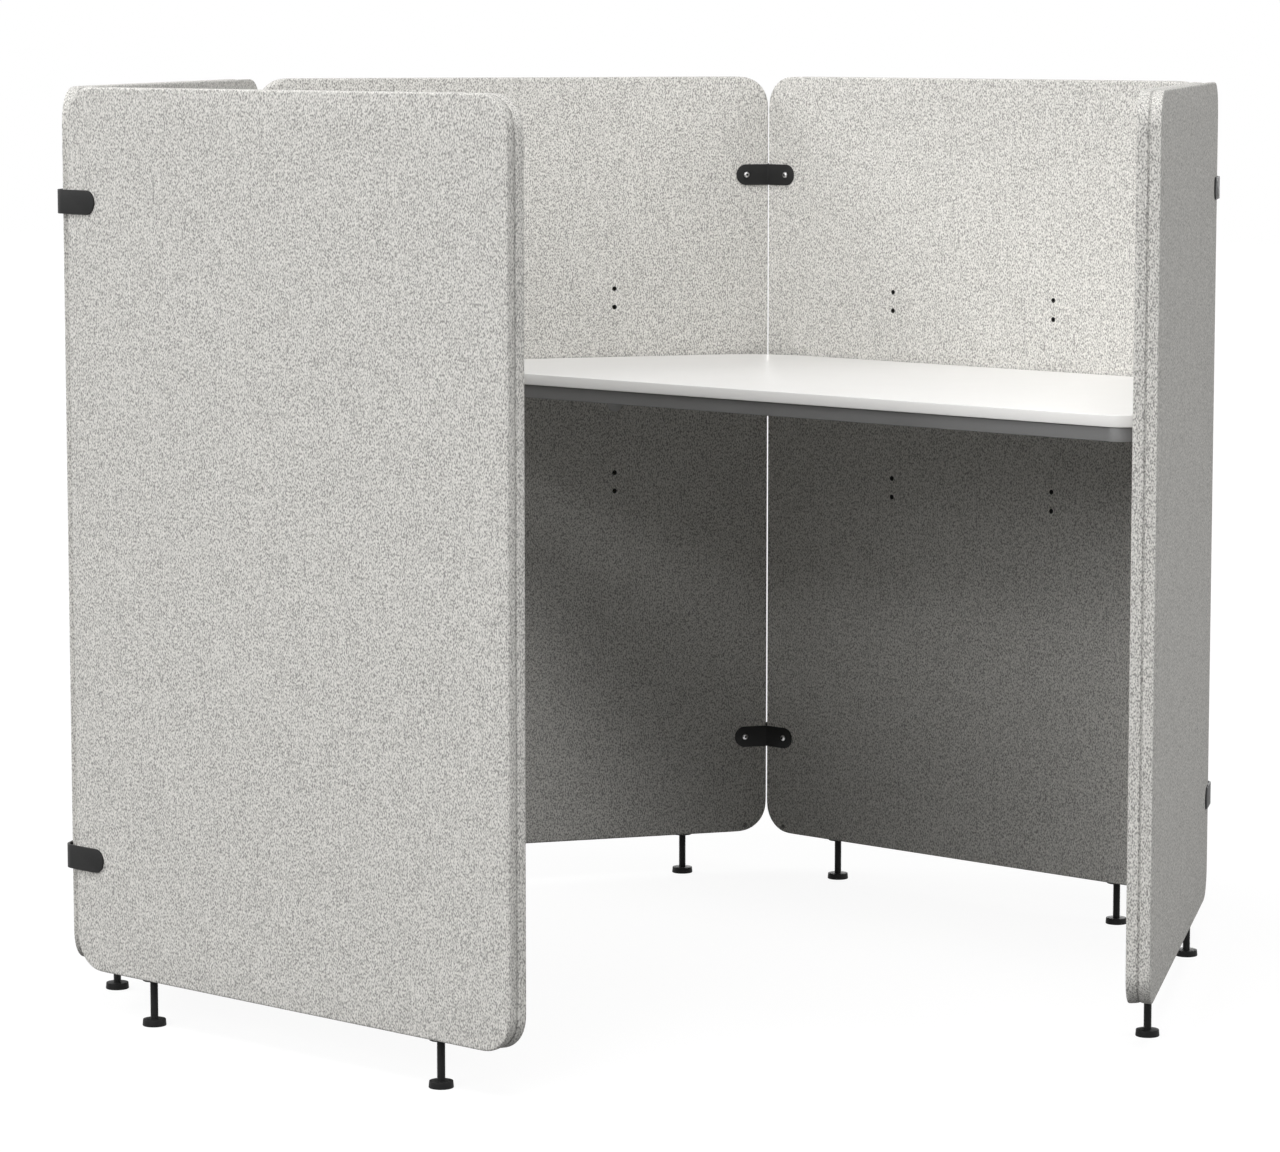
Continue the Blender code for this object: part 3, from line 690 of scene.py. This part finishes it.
board, tree, shader = principled("flake_board", roughness=0.8)
place = add_node(tree, "ShaderNodeTexCoord")
flakes = add_node(tree, "ShaderNodeTexVoronoi", inputs={"Scale": flake_scale, "Randomness": 1.0})
tree.links.new(place.outputs["Object"], flakes.inputs["Vector"])
wood = add_node(tree, "ShaderNodeValToRGB")
wood.color_ramp.elements[0].color = dark_flake
wood.color_ramp.elements[1].color = pale_flake
tree.links.new(flakes.outputs["Color"], wood.inputs["Fac"])
height = add_node(tree, "ShaderNodeSeparateXYZ")
tree.links.new(place.outputs["Object"], height.inputs[0])
steel_below = add_node(tree, "ShaderNodeMath", operation="LESS_THAN", inputs={1: bush_top})
tree.links.new(height.outputs["Z"], steel_below.inputs[0])
colour = add_node(tree, "ShaderNodeMix", data_type="RGBA")
colour.inputs["B"].default_value = bush_black
tree.links.new(steel_below.outputs[0], colour.inputs["Factor"])
tree.links.new(wood.outputs["Color"], colour.inputs["A"])
tree.links.new(colour.outputs["Result"], shader.inputs["Base Color"])
bump(tree, shader, flakes.outputs["Distance"], flake_strength, flake_height)
for panel in panel_frames:
    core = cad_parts[f"{panel}_core"]
    core.data.materials.clear()
    core.data.materials.append(board)
print("boards finished")

# %% [markdown]
# A levelling foot is a flat moulded pad on a threaded stem. The pad is a profile spun about the foot's axis,
# a little wider at the floor than at its top. The thread is the one shape here that a plain spin can't give:
# a small triangle is spun many turns while it climbs one pitch a turn, so it winds up the stem as the real
# thread does.

# %% Levelling feet
low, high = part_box("rear_panel_left_foot")
pad_radius = (high.x - low.x) / 2
stem_top = high.z
pad_height = 0.010
pad_round = 0.0012
pad_taper = 0.0008
thread_radius = 0.0060
thread_root = 0.0056
thread_sink = 0.0003
thread_pitch = 0.0010
thread_steps = 16
thread_crest_share, thread_ridge_share = 0.45, 0.9
stem_chamfer = 0.0010


def add_thread(bm, bottom, top):
    """A helical ridge: a triangle that climbs as it turns."""
    older = set(bm.verts)
    foot_of_ridge = thread_root - thread_sink
    corners = [bm.verts.new((foot_of_ridge, 0.0, bottom)),
               bm.verts.new((thread_radius, 0.0, bottom + thread_pitch * thread_crest_share)),
               bm.verts.new((foot_of_ridge, 0.0, bottom + thread_pitch * thread_ridge_share))]
    ridge = bm.faces.new(corners)
    turns = int((top - bottom) / thread_pitch) - 1
    bmesh.ops.spin(bm, geom=[ridge, *ridge.edges, *corners], axis=(0, 0, 1), angle=2 * math.pi * turns,
                   dvec=(0.0, 0.0, thread_pitch / thread_steps), steps=turns * thread_steps)
    return [vert for vert in bm.verts if vert not in older]


pad_top_round = pad_round / 2
pad_top_radius = pad_radius - pad_taper - pad_top_round
foot_profile = [(0.0, 0.0), *rounded((pad_radius - pad_round, pad_round), pad_round, -90, 0, 4),
                *rounded((pad_top_radius, pad_height - pad_top_round), pad_top_round, 0, 90, 3),
                (0.0, pad_height)]
stem_profile = [(0.0, pad_height), (thread_root, pad_height), (thread_root, stem_top - stem_chamfer),
                (thread_root - stem_chamfer, stem_top), (0.0, stem_top)]


def foot_axis(node):
    low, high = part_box(node)
    return Matrix.Translation(((low.x + high.x) / 2, (low.y + high.y) / 2, 0.0))


for panel in panel_frames:
    for side in sides:
        node = f"{panel}_{side}_foot"
        axis = foot_axis(node)
        bm = bmesh.new()
        lathe(bm, foot_profile, large_round, axis)
        pad_faces = len(bm.faces)
        lathe(bm, stem_profile, small_round, axis)
        move(bm, axis, add_thread(bm, pad_height, stem_top - thread_pitch))
        bm.faces.ensure_lookup_table()
        for face in bm.faces[pad_faces:]:
            face.material_index = 1
        finished(f"{node}_dressed", bm, [foot_plastic, black_steel_and_socket_shade], body=node, nodes=[node])
print("feet made, thread turns", int((stem_top - pad_height) / thread_pitch))

# %% [markdown]
# Where a stem enters the panel, the bush's thin flange shows as a black collar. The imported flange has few
# sides, so a finer turned collar is slipped over it.

# %% Bush collars
collar_skin = 0.0002
flange_radius = 0.0166
flange_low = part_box("rear_panel_core")[0].z - collar_skin
collar_bore = 0.0062
collar_neck = 0.0092
collar_gap = 0.0001
collar_top = panel_bottom - collar_gap
collar_bulge, collar_bulge_depth = 0.0002, 0.0007
collar_tuck, collar_tuck_depth = 0.0004, 0.0013
collar_profile = [(collar_bore, collar_top), (flange_radius, collar_top),
                  (flange_radius + collar_bulge, collar_top - collar_bulge_depth),
                  (flange_radius - collar_tuck, collar_top - collar_tuck_depth),
                  (collar_neck, flange_low), (collar_bore, flange_low), (collar_bore, collar_top)]
for panel in panel_frames:
    for side in sides:
        bm = bmesh.new()
        lathe(bm, collar_profile, large_round, foot_axis(f"{panel}_{side}_foot"))
        finished(f"{panel}_{side}_foot_collar", bm, [black_coat])
print("collars made")

# %% [markdown]
# The corner plates are steel strips bent at the corner, with full round ends. The plan of the bend is drawn
# as a few points and extruded to the strip's height. Bevels then do what a press does: the ends become half
# circles, the bend gets its radius, tight on the inner plates and wide on the outer ones, and the last small
# bevel breaks the edges so that they catch the light.

# %% Corner plates
plate_thickness = 0.003
plate_gap = 0.0003
plate_edge = 0.0004
bend_radius = 0.0015
outer_bend_radius = 0.020
round_share = 0.995
plate_reach = plate_screw_reach + plate_height / 2
outer_plate_overreach = 0.0034
sleeve_radius = 0.005
sleeve_bore = 0.0031
sleeve_setback = 0.006


def leg_point(sign, reach, outward, height):
    """A point by a corner: along the panel on one side, and outwards from its inner face."""
    leg = Vector((sign * math.sin(half_corner), -math.cos(half_corner), 0.0))
    normal = Vector((sign * math.cos(half_corner), math.sin(half_corner), 0.0))
    return leg * reach + normal * outward + Vector((0.0, 0.0, height))


def facing(place, direction):
    """A frame at a place with its Z along a direction."""
    return Matrix.Translation(place) @ Vector(direction).to_track_quat("Z", "Y").to_matrix().to_4x4()


def extruded(points, sweep):
    bm = bmesh.new()
    face = bm.faces.new([bm.verts.new(point) for point in points])
    grow(bm, [face], sweep)
    return bm


def bent_plate(reach, near, far, level, inside_radius):
    """A strip with legs of equal reach between two distances outwards from the inner faces, about a level.
    Its bend has one radius on the inside and a radius larger by the thickness on the outside."""
    low = level - plate_height / 2
    bm = extruded([leg_point(-1, reach, near, low), Vector((0.0, near / math.sin(half_corner), low)),
                   leg_point(1, reach, near, low), leg_point(1, reach, far, low),
                   Vector((0.0, far / math.sin(half_corner), low)), leg_point(-1, reach, far, low)],
                  (0.0, 0.0, plate_height))
    leg = leg_point(1, 1.0, 0.0, 0.0)
    ends = [edge for edge in bm.edges
            if abs(edge.verts[0].co.z - edge.verts[1].co.z) < touch
            and all(leg.dot((abs(vert.co.x), vert.co.y, 0.0)) > reach - touch for vert in edge.verts)]
    bevel(bm, ends, plate_height / 2 * round_share, 14)
    inside, outside = sorted((near / math.sin(half_corner), far / math.sin(half_corner)))
    for along, radius in ((inside, inside_radius), (outside, inside_radius + plate_thickness)):
        bend = [edge for edge in bm.edges
                if all(abs(vert.co.x) < touch and abs(vert.co.y - along) < touch for vert in edge.verts)]
        bevel(bm, bend, radius * math.tan(half_corner / 2), 8)
    bevel(bm, creases(bm, 70), plate_edge, 2)
    return bm


near = panel_thickness + plate_gap
sleeve_length = near - sleeve_setback
sleeve_profile = [(sleeve_bore, 0.0), (sleeve_radius, 0.0), (sleeve_radius, sleeve_length),
                  (sleeve_bore, sleeve_length), (sleeve_bore, 0.0)]
for corner, place in corner_frames.items():
    for height, level in plate_levels.items():
        bm = bent_plate(plate_reach, -plate_gap, -plate_gap - plate_thickness, level, bend_radius)
        move(bm, place)
        node = f"{corner}_{height}_inner_plate"
        finished(f"{node}_dressed", bm, [black_coat], nodes=[node], crisp=50)
        bm = bent_plate(plate_reach + outer_plate_overreach, near, near + plate_thickness, level,
                        outer_bend_radius)
        for sign in sides.values():
            sleeve = facing(leg_point(sign, plate_screw_reach, sleeve_setback, level),
                            leg_point(sign, 0.0, 1.0, 0.0))
            lathe(bm, sleeve_profile, small_round, sleeve)
        move(bm, place)
        node = f"{corner}_{height}_outer_plate"
        finished(f"{node}_dressed", bm, [black_coat], nodes=[node], crisp=50)
print(2 * len(plate_levels) * len(corner_frames), "plates made")

# %% [markdown]
# The plates are held by button-head screws with a hexagon socket. The head is a spun profile. Its innermost
# ring is pushed out to a hexagon and extruded down, which makes the socket without any cutting. The socket's
# faces get the blackened steel as painted shade inside the socket.

# %% Button-head screws
socket_rim_share, socket_depth_share = 0.56, 0.6
seat_share, skirt_share = 0.97, 0.12
dome_steps = 6
corner_screw = {"head_radius": 0.00525, "head_height": 0.0033, "socket_width": 0.004, "shank_radius": 0.0028,
                "shank_length": 0.030}


def add_button_screw(bm, matrix, head_radius, head_height, socket_width, shank_radius, shank_length):
    """Head along -Z above its seat at zero, shank along +Z."""
    older = set(bm.verts)
    ring_radius = socket_width * socket_rim_share
    dome = [(ring_radius + (head_radius - ring_radius) * math.cos(step), -head_height * math.sin(step))
            for step in (math.radians(90 * part / dome_steps) for part in range(1, dome_steps + 1))]
    profile = [(shank_radius, shank_length), (shank_radius, 0.0), (head_radius * seat_share, 0.0),
               (head_radius, -head_height * skirt_share), *dome]
    lathe(bm, profile, small_round, Matrix())
    made = [vert for vert in bm.verts if vert not in older]
    ring = [vert for vert in made if abs(vert.co.z + head_height) < touch]
    for vert in ring:
        turn = math.atan2(vert.co.y, vert.co.x) % (math.pi / 3) - math.pi / 6
        reach = socket_width / 2 / math.cos(turn)
        vert.co.xy = vert.co.xy.normalized() * reach
    rim = [edge for edge in bm.edges if edge.is_boundary and all(vert in ring for vert in edge.verts)]
    sunk = bmesh.ops.extrude_edge_only(bm, edges=rim)["geom"]
    floor_verts = [item for item in sunk if isinstance(item, bmesh.types.BMVert)]
    bmesh.ops.translate(bm, verts=floor_verts, vec=(0.0, 0.0, head_height * socket_depth_share))
    made = [vert for vert in bm.verts if vert not in older]
    open_edges = [edge for edge in bm.edges if edge.is_boundary and edge.verts[0] in made]
    bmesh.ops.holes_fill(bm, edges=open_edges, sides=0)
    # The socket's faces get the second finish: black, as painted shade inside the socket.
    socket = {*ring, *floor_verts}
    for face in bm.faces:
        if socket.issuperset(face.verts):
            face.material_index = 1
    move(bm, matrix, made)


screw_seat = -(plate_gap + plate_thickness)
for corner, place in corner_frames.items():
    for height, level in plate_levels.items():
        for side, sign in sides.items():
            bm = bmesh.new()
            seat = facing(leg_point(sign, plate_screw_reach, screw_seat, level),
                          leg_point(sign, 0.0, 1.0, 0.0))
            add_button_screw(bm, place @ seat, **corner_screw)
            node = f"{corner}_{height}_{side}_screw"
            # The black second finish is painted shade inside the sockets.
            finished(f"{node}_dressed", bm, [bright_zinc, black_steel_and_socket_shade], nodes=[node])
print(len(corner_frames) * len(plate_levels) * len(sides), "corner screws made")

# %% [markdown]
# The desk top is a laminated board with a white edge band. Its front corners are tight and its rear corners
# wide, so that it clears the screens' corners. Each corner is a single point spun about the corner's centre,
# which gives a true arc at any angle; the arcs joined in order are the outline.

# %% Desk top
desk_low, desk_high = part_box("desk_top")
desk_front, desk_rear = desk_low.y, desk_high.y
desk_front_radius = 0.040
desk_rear_radius = 0.170
desk_edge = 0.0010
desk_steps = 28


def add_arc(bm, centre, radius, start, end):
    """Spins one vertex about a centre, and gives the arc's first and last vertex."""
    start, end = math.radians(start), math.radians(end)
    first = bm.verts.new(centre + radius * Vector((math.cos(start), math.sin(start), 0.0)))
    spun = bmesh.ops.spin(bm, geom=[first], cent=centre, axis=(0, 0, 1), angle=end - start, steps=desk_steps)
    return first, spun["geom_last"][0]


def desk_corner(sign, radius, y):
    """Centre of a corner arc that also touches the edge beside a side panel."""
    x = (desk_rear - radius - y * math.cos(half_corner)) / math.sin(half_corner)
    return Vector((pod_middle.translation.x + sign * x, y, desk_low.z))


front_row, rear_row = desk_front + desk_front_radius, desk_rear - desk_rear_radius
bm = bmesh.new()
arcs = [add_arc(bm, desk_corner(sign, radius, y), radius, start, end)
        for sign, radius, y, start, end in ((1, desk_front_radius, front_row, -90, 30),
                                            (1, desk_rear_radius, rear_row, 30, 90),
                                            (-1, desk_rear_radius, rear_row, 90, 150),
                                            (-1, desk_front_radius, front_row, 150, 270))]
for (_, last), (first, _) in zip(arcs, arcs[1:] + arcs[:1]):
    bm.edges.new((last, first))
bmesh.ops.contextual_create(bm, geom=bm.edges[:])
grow(bm, bm.faces[:], (0.0, 0.0, desk_high.z - desk_low.z))
bevel(bm, creases(bm, 60), desk_edge, 3)
for face in bm.faces:
    face.material_index = 1 if abs(face.normal.z) < 0.5 else 0
finished("desk_top_dressed", bm, [white_laminate, white_edge_band], nodes=["desk_top"])
print("desk top", round(desk_high.x - desk_low.x, 3), "m wide")

# %% [markdown]
# A flat steel bar under the front edge stiffens the desk and turns round both of its front corners. It is
# one small rectangle that travels: spun round the left corner, extruded across and spun round the right one,
# so the bar has the same section everywhere.

# %% Front rail
rail_low, rail_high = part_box("desk_front_rail")
rail_thickness = 0.012
rail_wrap = math.radians(75)
rail_edge = 0.0010
rail_steps = 20


def bend_round(bm, face, centre):
    spun = bmesh.ops.spin(bm, geom=[face], cent=centre, axis=(0, 0, 1), angle=rail_wrap, steps=rail_steps)
    return next(item for item in spun["geom_last"] if isinstance(item, bmesh.types.BMFace))


left_centre, right_centre = (desk_corner(sign, desk_front_radius, front_row) for sign in (-1, 1))
front, back = rail_low.y, rail_low.y + rail_thickness
bm = bmesh.new()
section = bm.faces.new([bm.verts.new((left_centre.x, y, z))
                        for y, z in ((front, rail_low.z), (back, rail_low.z),
                                     (back, rail_high.z), (front, rail_high.z))])
bmesh.ops.rotate(bm, cent=left_centre, matrix=Matrix.Rotation(-rail_wrap, 3, "Z"), verts=section.verts)
section = bend_round(bm, section, left_centre)
section = grow(bm, [section], (right_centre.x - left_centre.x, 0.0, 0.0))
bend_round(bm, section, right_centre)
bmesh.ops.recalc_face_normals(bm, faces=bm.faces)
bevel(bm, creases(bm, 60), rail_edge, 3)
finished("desk_front_rail_dressed", bm, [grey_coat], nodes=["desk_front_rail"])
print("rail", round(1000 * (rail_high.z - rail_low.z), 1), "mm high")

# %% [markdown]
# Six steel angles carry the desk, two on each rear panel, painted a paler grey than the rail. Each is an L
# extruded to its width, with the same three bevels as the corner plates. Two screws hold its upright leg to
# the inserts in the panel and two hold the desk from below.

# %% Desk brackets and their screws
bracket_reach = 0.070
bracket_thickness = plate_thickness
bracket_desk_holes = (0.024, 0.050)
bracket_back = inner_face - plate_gap
panel_screw_length, desk_screw_length = 0.018, 0.014
small_head = {"head_radius": 0.0048, "head_height": 0.0026, "socket_width": 0.003, "shank_radius": 0.0024}


def desk_bracket():
    tip = bracket_back - bracket_reach
    inner_y, inner_z = bracket_back - bracket_thickness, bracket_top - bracket_thickness
    outline = [(bracket_back, bracket_bottom), (bracket_back, bracket_top), (tip, bracket_top),
               (tip, inner_z), (inner_y, inner_z), (inner_y, bracket_bottom)]
    bm = extruded([(-bracket_width / 2, y, z) for y, z in outline], (bracket_width, 0.0, 0.0))
    ends = [edge for edge in bm.edges
            if abs(edge.verts[0].co.x - edge.verts[1].co.x) < touch
            and (all(vert.co.z < bracket_bottom + touch for vert in edge.verts)
                 or all(vert.co.y < tip + touch for vert in edge.verts))]
    bevel(bm, ends, bracket_width / 2 * round_share, 12)
    for y, z, radius in ((bracket_back, bracket_top, bend_radius + bracket_thickness),
                         (inner_y, inner_z, bend_radius)):
        bend = [edge for edge in bm.edges
                if all(abs(vert.co.y - y) < touch and abs(vert.co.z - z) < touch for vert in edge.verts)]
        bevel(bm, bend, radius, 6)
    bevel(bm, creases(bm, 70), plate_edge, 2)
    return bm


for panel in desk_panels:
    for side, sign in sides.items():
        place = panel_frames[panel] @ Matrix.Translation((sign * column_x, 0.0, 0.0))
        node = f"{panel}_{side}_desk_bracket"
        bm = desk_bracket()
        move(bm, place)
        finished(f"{node}_dressed", bm, [pale_coat], nodes=[node], crisp=50)
        bm = bmesh.new()
        for half in (-0.5, 0.5):
            spot = (0.0, bracket_back - bracket_thickness, hole_middle_row + half * hole_pair_spacing)
            add_button_screw(bm, place @ facing(spot, (0, 1, 0)), shank_length=panel_screw_length,
                             **small_head)
        for reach in bracket_desk_holes:
            spot = (0.0, bracket_back - reach, bracket_top - bracket_thickness)
            add_button_screw(bm, place @ facing(spot, (0, 0, 1)), shank_length=desk_screw_length,
                             **small_head)
        finished(f"{node}_screws", bm, [black_steel_and_socket_shade, black_coat])
print(len(desk_panels) * len(sides), "brackets made, with four screws each")

# %% [markdown]
# The rear panels carry hole pairs at three heights, so the desk can be refitted higher or lower. The pairs
# that aren't in use show as small dark threaded inserts. The felt is cut open with a Boolean, and the insert
# is a thin spun cup that lines the hole.

# %% Screw inserts
insert_radius = 0.0033
insert_flange = 0.0042
insert_depth = 0.012
insert_wall = 0.0006
insert_floor = 0.001
insert_fit = 0.0002
flange_back, flange_front, flange_crest = -0.0001, -0.0006, -0.0009
cutter_overrun = 0.004
cup_outside, cup_inside = insert_radius - insert_fit, insert_radius - insert_wall
cutter_profile = [(0.0, -cutter_overrun), (insert_radius, -cutter_overrun),
                  (insert_radius, insert_depth + insert_floor), (0.0, insert_depth + insert_floor)]
cup_profile = [(0.0, insert_depth), (cup_outside, insert_depth), (cup_outside, flange_back),
               (insert_flange, flange_back), (insert_flange, flange_front), (insert_radius, flange_crest),
               (cup_inside, flange_front), (cup_inside, insert_depth - insert_floor),
               (0.0, insert_depth - insert_floor)]


def open_row(z):
    return abs(z - hole_middle_row) > hole_row_pitch / 2


for panel in desk_panels:
    cutters, cups = bmesh.new(), bmesh.new()
    for x, z in insert_places(panel):
        if open_row(z):
            hole = panel_frames[panel] @ facing((x, inner_face, z), (0, 1, 0))
            lathe(cutters, cutter_profile, small_round, hole)
            lathe(cups, cup_profile, small_round, hole)
    bmesh.ops.recalc_face_normals(cutters, faces=cutters.faces)
    cutter = mesh_object("cutter", cutters)
    cutters.free()
    cover = covers[panel]
    cut = cover.modifiers.new("insert_holes", "BOOLEAN")
    cut.operation = "DIFFERENCE"
    cut.solver = "EXACT"
    cut.object = cutter
    solved = cover.evaluated_get(bpy.context.evaluated_depsgraph_get())
    cover.data = bpy.data.meshes.new_from_object(solved)
    cover.modifiers.clear()
    bpy.data.objects.remove(cutter)
    finished(f"{panel}_screw_inserts", cups, [black_steel_and_socket_shade])
print("inserts set in", len(desk_panels), "panels")

# %% [markdown]
# The lower ends of the joined panels carry small felt buttons on the inside, near the floor. Their felt is
# half as grey as the covers', painted shade of the sunk buttons, so they show only as faint spots.
# Each is a low dome spun from an arc.

# %% Buttons by the lower corners
button_from_end = 0.040
button_above_edge = 0.0115
button_radius = 0.0045
button_neck = button_radius * 0.8
button_root, button_gap = 0.002, -0.0003
button_round, button_round_level, button_crown = 0.001, -0.0006, -0.0018
button_profile = [(0.0, button_root), (button_neck, button_root), (button_neck, button_gap),
                  *rounded((button_radius - button_round, button_round_level), button_round, 0, -90, 4),
                  (0.0, button_crown)]
for panel, place in panel_frames.items():
    bm = bmesh.new()
    for side in plated_ends[panel]:
        spot = (sides[side] * (half_width - button_from_end), inner_face, panel_bottom + button_above_edge)
        lathe(bm, button_profile, small_round, place @ facing(spot, (0, 1, 0)))
    # The half-grey felt is painted shade of the sunk buttons.
    finished(f"{panel}_buttons", bm, [button_painted_shade_felt])
print("buttons made")
